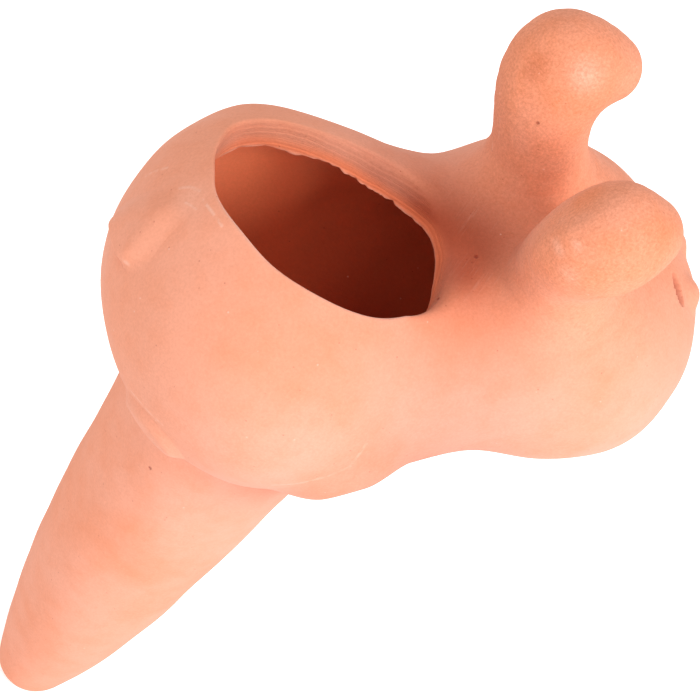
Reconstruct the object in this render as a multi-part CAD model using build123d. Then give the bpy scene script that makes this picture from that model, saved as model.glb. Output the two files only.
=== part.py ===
from build123d import *
import os
from math import asin, atan2, cos, degrees, radians, sin, sqrt, tan

# A fired clay animal on a hollow watering spike, in millimetres.
# +X points to the head, +Z up along the spike, and the animal's left is +Y.
# The origin is on the spike's axis at the soil line, under the belly.

# Hull of torso and head: three tangent arcs turned about one tilted line
torso_radius = 25.3
head_radius = 19.9
neck_hollow_radius = 88.0
head_reach = 46.5
hull_tilt = 8.5
hull_width_share = 1.18
torso_back = 5.0
torso_height = 25.3
wall = 4.5
neck_seam_reach = 27.5

# Filling mouth: a hand-cut slanted oval in the back, its cut leaning in more on the left than on the right
mouth_half_length = 21.1
mouth_half_width = 14.3
mouth_reach = 4.5
mouth_turn = -35.0
mouth_level = 20.8
mouth_taper = 15.0
mouth_slant = 19.0
mouth_depth = 12.0
mouth_edge_radius = 0.9

# Spike: a hollow cone, an ogive stretch and a ball tip
spike_top_radius = 18.2
spike_top_height = 10.0
spike_taper = 4.95
spike_shoulder_depth = 50.0
spike_tip_radius = 6.6
spike_length = 92.0
spike_wall = 4.0
floor_hole_radius = 11.5

# Ears: flared stalks that end in a knob with a forward hook
ear_root_forward = 34.0
ear_root_side = 10.2
ear_root_height = 43.0
ear_root_radius = 11.0
ear_stalk_forward = 25.0
ear_stalk_side = 11.9
ear_stalk_height = 58.0
ear_stalk_radius = 7.3
ear_knob_forward = 24.5
ear_knob_side = 14.9
ear_knob_rise = 11.0
ear_knob_radius = 8.3
ear_hook_forward = 30.2
ear_hook_side = 14.8
ear_hook_rise = 2.6
ear_hook_radius = 5.5
# where the stalk's rings stand along its curve, and how much of the flare each one keeps
ear_ring_shares = [(0.0, 1.0), (0.16, 0.58), (0.32, 0.22), (0.5, 0.0)]
# the stalk runs up into the knob at this share of the knob's radius
ear_seat_share = 0.95

# Tail: a low pad on the rump, its blunt tip turned to the right side, its angle taken like the feet's
tail_side = 4.0
tail_angle = 154.8
tail_width = 18.0
tail_height = 20.0
tail_proud = 1.3
tail_corner_radius = 2.6
tail_edge_radius = 0.7
tail_foot_share = 1.2
tail_top_share = 0.82
# corners as shares of the tail's width and height, from the low left one round by the tip
tail_corner_shares = [(-0.5, -0.4), (0.36, -0.18), (0.41, 0.05), (0.14, 0.52), (-0.36, 0.5)]

# Feet: low pads of clay pressed on around the belly, each angle taken round the hull from the head
# and each side way a share of the torso's half width
front_foot_side_share = 0.881
front_foot_angle = -49.0
front_foot_length = 16.0
front_foot_width = 11.0
front_foot_proud = 2.0
hind_foot_side_share = 0.536
hind_foot_angle = 213.0
hind_foot_length = 10.0
hind_foot_width = 14.0
hind_foot_proud = 1.2

# Eyes: small pellets with a knife slit behind each
eye_side = 4.9
eye_angle = 36.0
eye_width = 7.0
eye_length = 6.6
eye_proud = 1.2
slit_side = 6.6
slit_back = 4.1
slit_length = 4.8
slit_width = 1.0
slit_depth = 1.7
slit_turn = 24.0

# How far a cut runs past what it cuts
overrun = 3.0

os.makedirs("parts", exist_ok=True)


def polar(centre, radius, angle):
    return centre + Vector(radius * cos(radians(angle)), radius * sin(radians(angle)))


# Centre of the neck's hollow arc, which touches the torso's arc and the head's
reach_sum = (torso_radius - head_radius) * (torso_radius + head_radius + 2 * neck_hollow_radius)
waist_reach = (head_reach**2 + reach_sum) / (2 * head_reach)
waist_lift = sqrt((torso_radius + neck_hollow_radius) ** 2 - waist_reach**2)
torso_end_angle = degrees(atan2(waist_lift, waist_reach))
head_end_angle = degrees(atan2(waist_lift, waist_reach - head_reach))

hull_place = Location((-torso_back, 0, torso_height), (0, -hull_tilt, 0))
hull_width_inner_share = (torso_radius * hull_width_share - wall) / (torso_radius - wall)


def hull_solid(grow, width_share):
    """The hull, its skin moved outward by grow, before it is set in place."""
    back = torso_radius + grow
    front = head_radius + grow
    hollow = neck_hollow_radius - grow
    torso_centre = Vector(0, 0)
    head_centre = Vector(head_reach, 0)
    waist_centre = Vector(waist_reach, waist_lift)
    rear_pole = Vector(-back, 0)
    nose_pole = Vector(head_reach + front, 0)
    torso_end = polar(torso_centre, back, torso_end_angle)
    head_end = polar(head_centre, front, head_end_angle)
    torso_middle = polar(torso_centre, back, (180 + torso_end_angle) / 2)
    neck_middle = polar(waist_centre, hollow, 180 + (torso_end_angle + head_end_angle) / 2)
    head_middle = polar(head_centre, front, head_end_angle / 2)
    outline = [
        ThreePointArc(rear_pole, torso_middle, torso_end),
        ThreePointArc(torso_end, neck_middle, head_end),
        ThreePointArc(head_end, head_middle, nose_pole),
        Line(nose_pole, rear_pole),
    ]
    turned = revolve(make_face(outline), Axis.X, 360)
    return scale(turned, by=(1, width_share, 1))


def spike_solid(inset):
    """The spike's outer form, or its bore when inset is the wall."""
    slope = radians(spike_taper)
    outward = Vector(cos(slope), -sin(slope))
    tip_height = spike_tip_radius - spike_length
    shoulder_radius = spike_top_radius - (spike_top_height + spike_shoulder_depth) * tan(slope)
    shoulder = Vector(shoulder_radius, -spike_shoulder_depth)
    tip_centre = Vector(0, tip_height)
    offset = shoulder - tip_centre
    ogive = (offset.dot(offset) - spike_tip_radius**2) / (2 * (offset.dot(outward) - spike_tip_radius))
    ogive_centre = shoulder - outward * ogive
    tip_angle = degrees(atan2(tip_centre.Y - ogive_centre.Y, tip_centre.X - ogive_centre.X))
    tip_radius = spike_tip_radius - inset
    ogive_radius = ogive - inset
    top = Vector(spike_top_radius, spike_top_height) - outward * inset
    shoulder_in = shoulder - outward * inset
    tip_start = polar(tip_centre, tip_radius, tip_angle)
    ogive_middle = polar(ogive_centre, ogive_radius, (tip_angle - spike_taper) / 2)
    tip_middle = polar(tip_centre, tip_radius, (tip_angle - 90) / 2)
    tip_end = Vector(0, tip_height - tip_radius)
    outline = [
        Line(top, shoulder_in),
        ThreePointArc(shoulder_in, ogive_middle, tip_start),
        ThreePointArc(tip_start, tip_middle, tip_end),
        Line(tip_end, Vector(0, top.Y)),
        Line(Vector(0, top.Y), top),
    ]
    return Rot(X=90) * revolve(make_face(outline), Axis.Y, 360)


def mouth_cutter():
    """A slanted oval plug that narrows into the reservoir."""
    lean = tan(radians(mouth_taper))
    shift = tan(radians(mouth_slant))
    levels = [-mouth_depth, torso_radius + overrun - mouth_level]
    faces = []
    for level in levels:
        oval = Ellipse(mouth_half_length + level * lean, mouth_half_width + level * lean)
        faces.append(Pos(mouth_reach, level * shift, mouth_level + level) * Rot(Z=mouth_turn) * oval)
    return loft(faces)


def hooked_knob(knob, hook):
    """Knob and hook as one turned form: two balls and the cone that touches both."""
    span = hook - knob
    lean = degrees(asin((ear_knob_radius - ear_hook_radius) / span.length))
    knob_centre = Vector(0, 0)
    hook_centre = Vector(span.length, 0)
    back_pole = Vector(-ear_knob_radius, 0)
    front_pole = Vector(span.length + ear_hook_radius, 0)
    knob_edge = polar(knob_centre, ear_knob_radius, 90 - lean)
    hook_edge = polar(hook_centre, ear_hook_radius, 90 - lean)
    outline = [
        ThreePointArc(back_pole, polar(knob_centre, ear_knob_radius, 135 - lean / 2), knob_edge),
        Line(knob_edge, hook_edge),
        ThreePointArc(hook_edge, polar(hook_centre, ear_hook_radius, 45 - lean / 2), front_pole),
        Line(front_pole, back_pole),
    ]
    turned = revolve(make_face(outline), Axis.X, 360)
    along = Plane(origin=knob, x_dir=span, z_dir=span.cross(Vector(0, 1, 0)))
    return along.location * turned


def ear(side):
    """One ear: a flared stalk lofted up to its knob, and the hook in front."""
    root = Vector(ear_root_forward, side * ear_root_side, ear_root_height)
    stalk = Vector(ear_stalk_forward, side * ear_stalk_side, ear_stalk_height)
    knob = Vector(ear_knob_forward, side * ear_knob_side, ear_stalk_height + ear_knob_rise)
    hook = Vector(ear_hook_forward, side * ear_hook_side, knob.Z + ear_hook_rise)
    spine = Spline(root, stalk, knob)
    rings = []
    for place, flare in ear_ring_shares:
        radius = ear_stalk_radius + flare * (ear_root_radius - ear_stalk_radius)
        rings.append(Plane(origin=spine @ place, z_dir=spine % place) * Circle(radius))
    rings.append(Plane(origin=knob, z_dir=spine % 1) * Circle(ear_knob_radius * ear_seat_share))
    return loft(rings) + hooked_knob(knob, hook)


def on_skin(ball_reach, ball_radius, side_way, angle):
    """A place on the hull's skin where it is a ball stretched sideways, its Z square to the skin."""
    half_width = ball_radius * hull_width_share
    ring = ball_radius * sqrt(1 - (side_way / half_width) ** 2)
    turn = radians(angle)
    point = Vector(ring * cos(turn), side_way, ring * sin(turn))
    square = Vector(point.X / ball_radius**2, point.Y / half_width**2, point.Z / ball_radius**2)
    across = Vector(0, 1, 0)
    across = across - square * (across.dot(square) / square.dot(square))
    skin = Plane(origin=point, x_dir=across, z_dir=square)
    return hull_place * Pos(ball_reach, 0, 0) * skin.location


def lens(width, length, proud):
    """An egg of clay whose upper half stands proud of the skin that it sits in."""
    return scale(Sphere(1), by=(width / 2, length / 2, proud))


def tail_pad():
    """A rounded five-cornered pad with sloping edges, square to the rump."""
    place = on_skin(0, torso_radius, tail_side, tail_angle) * Rot(Z=180)
    faces = []
    for level, size in ((-wall, tail_foot_share), (wall, tail_top_share)):
        corners = [(size * tail_width * u, size * tail_height * v) for u, v in tail_corner_shares]
        flat = make_face(Polyline(*corners, close=True))
        faces.append(place * Pos(0, 0, level) * fillet(flat.vertices(), size * tail_corner_radius))
    return loft(faces)


# The whole hull, solid, and its hollow
torso_half_width = torso_radius * hull_width_share
hull_outer = hull_place * hull_solid(0, hull_width_share)
hull_inner = hull_place * hull_solid(-wall, hull_width_inner_share)
spike_outer = spike_solid(0)
reach_all = head_reach + torso_radius + head_radius + overrun

# Torso: the hull behind the neck seam, with its mouth and the hole down to the spike
behind_seam = hull_place * Pos(neck_seam_reach, 0, 0) * Box(
    reach_all, reach_all, reach_all, align=(Align.MAX, Align.CENTER, Align.CENTER)
)
floor_hole = Cylinder(floor_hole_radius, torso_height, align=(Align.CENTER, Align.CENTER, Align.CENTER))
shell = hull_outer - hull_inner
torso = (shell & behind_seam) - floor_hole
mouth = hull_place * mouth_cutter()
body_shell = torso - mouth
body_shell = fillet(new_edges(torso, mouth, combined=body_shell), mouth_edge_radius)

# Head: the hull in front of the seam, with a slit behind each eye
head_shell = shell - behind_seam
for name, side in (("left", 1), ("right", -1)):
    eye_place = on_skin(head_reach, head_radius, side * eye_side, eye_angle)
    eye = eye_place * lens(eye_width, eye_length, eye_proud) - hull_outer
    export_step(eye, f"parts/eye_{name}.step")

    slit_angle = eye_angle + degrees(slit_back / head_radius)
    slit_place = on_skin(head_reach, head_radius, side * slit_side, slit_angle)
    slit = slit_place * Rot(Z=side * slit_turn) * lens(slit_length, slit_width, slit_depth)
    head_shell = head_shell - slit

    ear_piece = ear(side) - hull_outer
    export_step(ear_piece, f"parts/ear_{name}.step")

    front_side = side * front_foot_side_share * torso_half_width
    front_place = on_skin(0, torso_radius, front_side, front_foot_angle)
    front_foot = front_place * lens(front_foot_width, front_foot_length, front_foot_proud)
    front_foot = front_foot - hull_outer - spike_outer
    export_step(front_foot, f"parts/front_foot_{name}.step")

    hind_side = side * hind_foot_side_share * torso_half_width
    hind_place = on_skin(0, torso_radius, hind_side, hind_foot_angle)
    hind_foot = hind_place * lens(hind_foot_width, hind_foot_length, hind_foot_proud)
    hind_foot = hind_foot - hull_outer - spike_outer
    export_step(hind_foot, f"parts/hind_foot_{name}.step")

# Tail: the part of its pad between the hull's skin and a skin a little further out, its top edge rounded
hull_over_tail = hull_place * hull_solid(tail_proud, hull_width_share)
tail = (tail_pad() & hull_over_tail) - hull_outer
tail = fillet(tail.faces().sort_by(SortBy.AREA)[-1].edges(), tail_edge_radius)

# Spike: its top follows the belly that it is luted to
spike_shell = spike_outer - spike_solid(spike_wall) - hull_outer

export_step(body_shell, "parts/body_shell.step")
export_step(head_shell, "parts/head_shell.step")
export_step(tail, "parts/tail.step")
export_step(spike_shell, "parts/spike_shell.step")
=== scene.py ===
import bmesh
import bpy
import numpy as np
from mathutils import Matrix


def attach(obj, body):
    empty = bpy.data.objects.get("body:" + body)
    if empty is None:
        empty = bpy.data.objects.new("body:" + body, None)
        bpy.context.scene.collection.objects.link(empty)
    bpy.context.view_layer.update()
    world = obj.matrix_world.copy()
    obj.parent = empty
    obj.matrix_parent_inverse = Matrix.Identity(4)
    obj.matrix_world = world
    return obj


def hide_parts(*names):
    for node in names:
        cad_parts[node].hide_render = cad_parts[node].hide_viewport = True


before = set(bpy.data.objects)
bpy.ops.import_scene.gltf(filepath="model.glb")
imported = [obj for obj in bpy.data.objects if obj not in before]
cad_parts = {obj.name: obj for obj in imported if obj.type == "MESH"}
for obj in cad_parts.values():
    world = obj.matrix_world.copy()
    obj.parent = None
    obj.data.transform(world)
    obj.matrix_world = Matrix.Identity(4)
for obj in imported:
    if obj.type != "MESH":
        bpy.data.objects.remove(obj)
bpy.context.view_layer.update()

print("frame loaded,", len(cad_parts), "nodes")

# Shapes are worked out in millimetres in the part's frame, and meshes are written in metres
mm = 0.001
rng = np.random.default_rng(11)


# Small helpers for fields, curves and grids


def smoothMin(a, b, blend):
    # the lesser of two fields, lowered where they are within the blend of each other
    near = np.maximum(blend - np.abs(a - b), 0)
    return np.minimum(a, b) - near * near / (4 * blend)


def smoothMax(a, b, blend):
    return -smoothMin(-a, -b, blend)


def easeStep(value, start, end):
    # 0 before start, 1 after end, and a smooth cubic step between
    t = np.clip((value - start) / (end - start), 0, 1)
    return t * t * (3 - 2 * t)


def unit(v):
    return v / np.linalg.norm(v, axis=-1, keepdims=True)


def throughPoints(points, count):
    # natural cubic spline through the points, sampled at even steps of its parameter
    points = np.asarray(points, float)
    n = len(points)
    system = 4 * np.eye(n) + np.eye(n, k=1) + np.eye(n, k=-1)
    system[0] = np.eye(n)[0]
    system[-1] = np.eye(n)[-1]
    bend = np.zeros_like(points)
    bend[1:-1] = 6 * (points[2:] - 2 * points[1:-1] + points[:-2])
    curl = np.linalg.solve(system, bend)
    t = np.linspace(0, n - 1, count)
    i = np.minimum(t.astype(int), n - 2)
    f = (t - i)[:, None]
    g = 1 - f
    return g * points[i] + f * points[i + 1] + ((g**3 - g) * curl[i] + (f**3 - f) * curl[i + 1]) / 6


def closedCurve(points, count):
    # closed curve through the points: on each span a cubic whose end slopes join the neighbours' points
    points = np.asarray(points, float)
    n = len(points)
    t = np.arange(count) * n / count
    i = t.astype(int)
    f = (t - i)[:, None]
    before, here, there, after = (points[(i + k) % n] for k in (-1, 0, 1, 2))
    return here + f * ((there - before) + f * ((2 * before - 5 * here + 4 * there - after)
                       + f * (3 * (here - there) + after - before))) / 2


def denseSteps(count, centres, width, boost):
    # steps from 0 to 1 that crowd together around the centres
    even = np.linspace(0, 1, 2000)
    crowd = np.ones_like(even)
    for centre in centres:
        crowd += boost * np.exp(-(((even - centre) / width) ** 2))
    total = np.cumsum(crowd)
    total = (total - total[0]) / (total[-1] - total[0])
    return np.interp(np.linspace(0, 1, count), total, even)


def castOut(origin, target, field, low=0.5, high=1.8, rounds=24):
    # the place on each line from origin through target where the field turns positive, by halving
    origin = np.broadcast_to(origin, target.shape)
    near = np.full(target.shape[:-1], float(low))
    far = np.full(target.shape[:-1], float(high))
    for _ in range(rounds):
        middle = (near + far) / 2
        inside = field(origin + (target - origin) * middle[..., None]) < 0
        near = np.where(inside, middle, near)
        far = np.where(inside, far, middle)
    return origin + (target - origin) * near[..., None]


def castNear(place, way, field, inward=2.5, outward=2.5):
    # the place on a short line through each point, along its way, where the field turns positive
    return castOut(place - way * inward, place, field, low=0, high=1 + outward / inward, rounds=18)


def castFirst(origin, target, field, high=1.8, steps=26):
    # like castOut, but steps out along each line to the first place where the field turns positive
    shares = np.linspace(0, high, steps + 1)
    outside = np.stack([field(origin + (target - origin) * share) > 0 for share in shares[1:]])
    first = np.where(outside.any(0), outside.argmax(0), steps - 1)[..., None]
    start = origin + (target - origin) * shares[first]
    end = origin + (target - origin) * shares[first + 1]
    return castOut(start, end, field, low=0, high=1, rounds=14)


def castDown(places, field):
    # the place straight below the torso's middle, under each point, where the field turns positive
    above = places * [1, 1, 0] + [0, 0, hull["height"]]
    return castOut(above, above - [0, 0, hull["plumb"]], field, low=0, high=1)


def bellSum(q, places):
    # sum of soft bells: strength times e to the minus squared distance over squared spread
    places = np.array(places)
    gaps = ((q[..., None, :] - places[:, :3]) ** 2).sum(-1)
    return (places[:, 4] * np.exp(-gaps / places[:, 3] ** 2)).sum(-1)


def newSheet():
    # points and faces gathered before they become a mesh
    return {"points": [], "faces": [], "count": 0}


def addPoints(sheet, points):
    # puts an array of points into the sheet and gives back their numbers in the same layout
    shape = points.shape[:-1]
    size = int(np.prod(shape))
    numbers = sheet["count"] + np.arange(size).reshape(shape)
    sheet["points"].append(points.reshape(-1, 3))
    sheet["count"] += size
    return numbers


def addQuads(sheet, numbers, keep=None, closed=True):
    # a quad in each cell of a grid of point numbers, whose columns close on themselves
    across = np.roll(numbers, -1, axis=1) if closed else numbers[:, 1:]
    here = numbers if closed else numbers[:, :-1]
    cells = np.stack([here[:-1], across[:-1], across[1:], here[1:]], -1)
    if keep is not None:
        cells = cells[keep]
    sheet["faces"].extend(cells.reshape(-1, 4).tolist())


def addFan(sheet, ring, tip):
    # triangles from a ring of points to one point
    tipNumber = addPoints(sheet, np.asarray(tip, float).reshape(1, 3))[0]
    cells = np.stack([ring, np.roll(ring, -1), np.full_like(ring, tipNumber)], -1)
    sheet["faces"].extend(cells.tolist())


def blockLoop(numbers, rows, columns):
    # the numbers round the edge of a block of cells, as one closed loop
    top, bottom = rows
    left, right = columns
    return np.concatenate([
        numbers[top, left:right],
        numbers[top:bottom, right],
        numbers[bottom, left + 1:right + 1][::-1],
        numbers[top + 1:bottom + 1, left][::-1],
    ])


def makePiece(name, sheet, node, material):
    # one closed mesh in metres, faces outward, smooth but for its real edges, without the points no face uses
    used = np.unique(np.concatenate([np.ravel(face) for face in sheet["faces"]]))
    points = np.concatenate(sheet["points"])[used]
    renumber = np.zeros(sheet["count"], int)
    renumber[used] = np.arange(len(used))
    faces = [renumber[face].tolist() for face in sheet["faces"]]
    mesh = bpy.data.meshes.new(name)
    mesh.from_pydata((points * mm).tolist(), [], faces)
    shaper = bmesh.new()
    shaper.from_mesh(mesh)
    bmesh.ops.recalc_face_normals(shaper, faces=shaper.faces)
    openEdges = sum(1 for edge in shaper.edges if len(edge.link_faces) != 2)
    shaper.to_mesh(mesh)
    shaper.free()
    for mark, values in clayMarks.items():
        layer = mesh.attributes.new(mark, "FLOAT", "POINT")
        layer.data.foreach_set("value", values(points).astype(np.float32))
    mesh.shade_smooth()
    mesh.set_sharp_from_angle(angle=np.radians(60))
    mesh.materials.append(material)
    piece = bpy.data.objects.new(name, mesh)
    bpy.context.scene.collection.objects.link(piece)
    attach(piece, "root")
    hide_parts(node)
    print(name, "made:", len(points), "points,", len(faces), "faces,", openEdges, "open edges")


# The hull: torso, neck and head as three tangent arcs turned about one tilted line and widened a little
hull = {
    "torsoRadius": 25.3,
    "headRadius": 19.9,
    "hollowRadius": 88.0,
    "headReach": 46.5,
    "tilt": np.radians(8.5),
    "widthShare": 1.18,
    "back": 5.0,
    "height": 25.3,
    "wall": 4.5,
    # strength, scale and shift of the unevenness of the hollow's wall
    "hollowLumps": (1.6, 1.3, 40),
    "seamReach": 27.5,
    # how far along the reach the arcs are softened, and what is given back to the round forms for it
    "soften": 5.5,
    "regain": 0.22,
    # how far below the torso's middle the belly is looked for
    "plumb": 40.0,
}
torsoCentre = np.array([-hull["back"], 0, hull["height"]])
alongHull = np.array([np.cos(hull["tilt"]), 0, np.sin(hull["tilt"])])
sideways = np.array([0.0, 1.0, 0.0])
upHull = np.array([-np.sin(hull["tilt"]), 0, np.cos(hull["tilt"])])
radiiSum = hull["torsoRadius"] + hull["headRadius"] + 2 * hull["hollowRadius"]
radiiGap = hull["torsoRadius"] - hull["headRadius"]
waistReach = hull["headReach"] / 2 + radiiGap * radiiSum / (2 * hull["headReach"])
waistLift = np.sqrt((hull["torsoRadius"] + hull["hollowRadius"]) ** 2 - waistReach**2)


def toHull(p):
    # reach along the hull from the torso's centre, side, and height square to both
    q = p - torsoCentre
    return np.stack([q @ alongHull, q[..., 1], q @ upHull], -1)


def turnFromHull(v):
    # a way given along the hull, to its side and square to both, in the part's frame
    return v[..., :1] * alongHull + v[..., 1:2] * sideways + v[..., 2:] * upHull


def fromHull(q):
    return torsoCentre + turnFromHull(q)


def widthAt(inset):
    # how much wider than high the hull is, for its outer skin or a skin further in
    return (hull["torsoRadius"] * hull["widthShare"] - inset) / (hull["torsoRadius"] - inset)


def hullField(q, inset=0.0):
    # distance to the torso's, neck's or head's arc, whichever spans the point, with the width taken back
    reach = q[..., 0]
    radius = np.hypot(q[..., 1] / widthAt(inset), q[..., 2])
    torso = np.hypot(reach, radius) - hull["torsoRadius"]
    head = np.hypot(reach - hull["headReach"], radius) - hull["headRadius"]
    neck = hull["hollowRadius"] - np.hypot(reach - waistReach, radius - waistLift)
    up = radius / waistLift
    neckEnd = hull["headReach"] + (waistReach - hull["headReach"]) * up
    spansNeck = (reach > waistReach * up) & (reach < neckEnd)
    return np.where(spansNeck, neck, np.minimum(torso, head)) + inset


def softHull(q):
    # the hull's field with its arcs run softly into each other: weighed mean of three places along the reach
    shift = np.array([hull["soften"], 0, 0])
    return hullField(q) / 2 + (hullField(q - shift) + hullField(q + shift)) / 4 - hull["regain"]


def hullRadius(reach, inset=0.0):
    # the outline's radius at a reach: torso circle, then the neck's hollow arc, then the head circle
    torsoEnd = hull["torsoRadius"] * waistReach / np.hypot(waistReach, waistLift)
    headEnd = hull["headReach"] + hull["headRadius"] * (waistReach - hull["headReach"]) / np.hypot(
        waistReach - hull["headReach"], waistLift)
    torso = np.sqrt(np.maximum((hull["torsoRadius"] - inset) ** 2 - reach**2, 0))
    head = np.sqrt(np.maximum((hull["headRadius"] - inset) ** 2 - (reach - hull["headReach"]) ** 2, 0))
    neck = waistLift - np.sqrt((hull["hollowRadius"] + inset) ** 2 - (reach - waistReach) ** 2)
    return np.where(reach < torsoEnd, torso, np.where(reach > headEnd, head, neck))


# Hand-made unevenness: a few long waves through space, the same for every piece, so that neighbours agree
lumps = {"waves": 12, "longest": 46.0, "shortest": 7.0, "height": 0.13, "fallOff": 0.9}
waveLengths = np.geomspace(lumps["longest"], lumps["shortest"], lumps["waves"])
waveWays = unit(rng.normal(size=(lumps["waves"], 3))) * (2 * np.pi / waveLengths)[:, None]
waveStarts = rng.uniform(0, 2 * np.pi, lumps["waves"])
waveHeights = lumps["height"] * (waveLengths / lumps["longest"]) ** lumps["fallOff"]


def handLumps(p):
    # sum of sine waves of falling height, each running its own way
    return (np.sin(p @ waveWays.T + waveStarts) * waveHeights).sum(-1)


# Places along the outline where the hand left the clay a little fuller or leaner: reach, side, height,
# spread and amount. The amounts were fitted to the outline in the photo.
swells = [
    (-5.0, 25.5, 12.5, 7.0, 0.69),
    (14.5, 20.8, 13.0, 7.0, -0.40),
    (23.0, 19.5, 11.5, 7.0, -0.72),
    (-13.0, 23.5, 8.5, 7.0, -0.18),
    (-20.0, 18.5, 3.0, 8.0, -0.40),
    (-24.0, 9.0, -3.0, 9.0, -0.19),
    (-23.0, -3.0, -9.0, 9.0, -0.13),
    (18.0, -24.0, -8.4, 8.0, 0.55),
    (38.0, -20.8, -10.0, 8.0, 0.25),
    (47.0, -21.0, -10.0, 8.0, 0.17),
    (57.5, -19.7, -0.7, 8.0, 0.19),
    (54.0, 14.6, 16.0, 7.0, 0.25),
    (40.5, 19.8, 45.0, 6.0, -0.45),
    (46.0, 15.5, 43.0, 6.0, -0.19),
    (28.0, 15.5, 31.0, 7.0, 0.36),
    (-17.5, 6.0, -62.0, 14.0, 0.28),
    (-17.0, 0.0, -109.0, 8.0, 0.25),
    (-8.0, -5.0, -112.0, 7.0, -0.29),
    (8.0, -11.0, -55.0, 12.0, 0.20),
    (1.4, -9.7, -79.0, 12.0, 0.26),
    (-4.0, -8.0, -98.0, 9.0, -0.16),
]


def handSwells(q):
    # how far the skin stands out by the swells
    return bellSum(q, swells)


# The ears: a ball rolled along a spine that rises from inside the head and hooks forward
ears = {
    # forward, side, up and ball radius
    "spine": [(35.0, 9.8, 36.8, 14.0), (26.7, 11.1, 56.2, 7.5), (24.5, 14.7, 68.3, 8.5),
              (30.5, 14.7, 71.2, 5.5)],
    "balls": 19,
    "blend": 8.1,
    # where the right ear's root was pressed in crisply, how far that spreads, and the blend it takes away
    "pressed": (23.5, -4.5, 56.5),
    "pressedSpread": 7.5,
    "pressedLess": 5.0,
    "between": 4.0,
    # forward and up from where the ears lift the skin
    "from": (-5.0, 12.0),
}
earSpines = {side: throughPoints(ears["spine"], ears["balls"]) * [1, side, 1, 1] for side in (1, -1)}


def tubeField(p, spine):
    # distance to the nearest stretch between two balls, whose radius runs evenly from one to the next
    best = np.full(p.shape[:-1], np.inf)
    for start, end in zip(spine[:-1], spine[1:]):
        run = end[:3] - start[:3]
        share = np.clip(((p - start[:3]) @ run) / (run @ run), 0, 1)
        gap = np.linalg.norm(p - start[:3] - share[..., None] * run, axis=-1)
        best = np.minimum(best, gap - start[3] - share * (end[3] - start[3]))
    return best


def earBlend(p):
    # the blend into the head, less by a soft bell round the pressed place
    gap = ((p - np.array(ears["pressed"])) ** 2).sum(-1)
    return ears["blend"] - ears["pressedLess"] * np.exp(-gap / ears["pressedSpread"] ** 2)


def earField(p):
    # both ears as one field, run together softly between them
    return smoothMin(tubeField(p, earSpines[1]), tubeField(p, earSpines[-1]), ears["between"])


# The spike: a tapering cone, an ogive stretch and a ball tip
spike = {
    "topRadius": 18.2,
    "topHeight": 10.0,
    "taper": np.radians(4.95),
    "shoulder": -50.0,
    "tipRadius": 6.6,
    "length": 92.0,
    "wall": 4.0,
    "blend": 1.8,
    "holeRadius": 11.5,
    # strength, scale and shift of the unevenness of the bore's wall
    "boreLumps": (1.0, 1.4, 15),
}


def spikeArcs():
    # the shoulder's place, the centre and radius of the arc that leaves the cone there and touches the tip
    # ball, the ball's centre and the way out of the cone
    outward = np.array([np.cos(spike["taper"]), -np.sin(spike["taper"])])
    drop = spike["topHeight"] - spike["shoulder"]
    shoulder = np.array([spike["topRadius"] - drop * np.tan(spike["taper"]), spike["shoulder"]])
    tip = np.array([0.0, spike["tipRadius"] - spike["length"]])
    gap = shoulder - tip
    radius = (gap @ gap - spike["tipRadius"] ** 2) / (2 * (gap @ outward - spike["tipRadius"]))
    return shoulder, shoulder - radius * outward, radius, tip, outward


spikeShoulder, ogiveCentre, ogiveRadius, tipCentre, coneOutward = spikeArcs()
tipStart = np.arctan2(tipCentre[1] - ogiveCentre[1], tipCentre[0] - ogiveCentre[0])


def spikeField(p):
    # distance to the cone above the shoulder, to the ogive below it and to the tip ball at the end
    radius = np.hypot(p[..., 0], p[..., 1])
    level = p[..., 2]
    cone = (radius - spikeShoulder[0]) * coneOutward[0] + (level - spikeShoulder[1]) * coneOutward[1]
    ogive = np.hypot(radius - ogiveCentre[0], level - ogiveCentre[1]) - ogiveRadius
    tip = np.hypot(radius, level - tipCentre[1]) - spike["tipRadius"]
    turn = np.arctan2(level - ogiveCentre[1], radius - ogiveCentre[0])
    return np.where(turn > -spike["taper"], cone, np.where(turn > tipStart, ogive, tip))


# The filling mouth: a hand-cut oval in the back, its cut leaning inward, smoothed like a thumb dish in front
mouth = {
    # reach and side of the rim, all round
    "rim": [(-13.3, 2.9), (-11.7, -2.9), (-7.4, -9.8), (-0.8, -14.5), (6.4, -16.3), (13.4, -15.0),
            (18.4, -11.8), (21.0, -7.0), (21.8, -2.2), (20.6, 2.6), (15.9, 7.4), (9.3, 11.6),
            (2.7, 15.4), (-2.9, 17.3), (-8.0, 17.2), (-11.4, 12.8), (-12.8, 8.0)],
    "rimSteps": 720,
    "centre": (4.5, -0.2),
    # height over the hull's axis below which the knife didn't go
    "lowest": 8.0,
    # angle round the mouth in degrees, 0 at the front, and how far the knife leaned outward there
    "leans": [(-180, -4), (-150, -6), (-62, -6), (-44, 4), (-30, 22), (-10, 28), (30, 32), (60, 36),
              (100, 34), (112, 30), (120, 24), (127, 15), (134, 6), (142, -2), (180, -4)],
    # the same angle, and how soft the outer edge is there
    "softness": [(-180, 0.7), (-90, 0.7), (-62, 0.9), (-38, 4.0), (-15, 6.5), (5, 6.0), (25, 2.4),
                 (50, 1.1), (180, 0.7)],
    "innerSoftness": 0.5,
    "pivotOffset": 2.4,
    # bites out of the far inner edge: number and start of each wave, depth, fading and where the far side is
    "bites": [(13, 0.4), (22, 2.2), (31, 4.0), (47, 1.3)],
    "biteDepth": 0.09,
    "biteFade": 0.9,
    "biteSide": (-0.2, 0.4),
}
rimCurve = closedCurve(mouth["rim"], mouth["rimSteps"]) - mouth["centre"]
rimAngles = np.arctan2(rimCurve[:, 1], rimCurve[:, 0])
rimOrder = np.argsort(rimAngles)
rimAngles = rimAngles[rimOrder]
rimRadii = np.hypot(rimCurve[:, 0], rimCurve[:, 1])[rimOrder]


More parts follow.
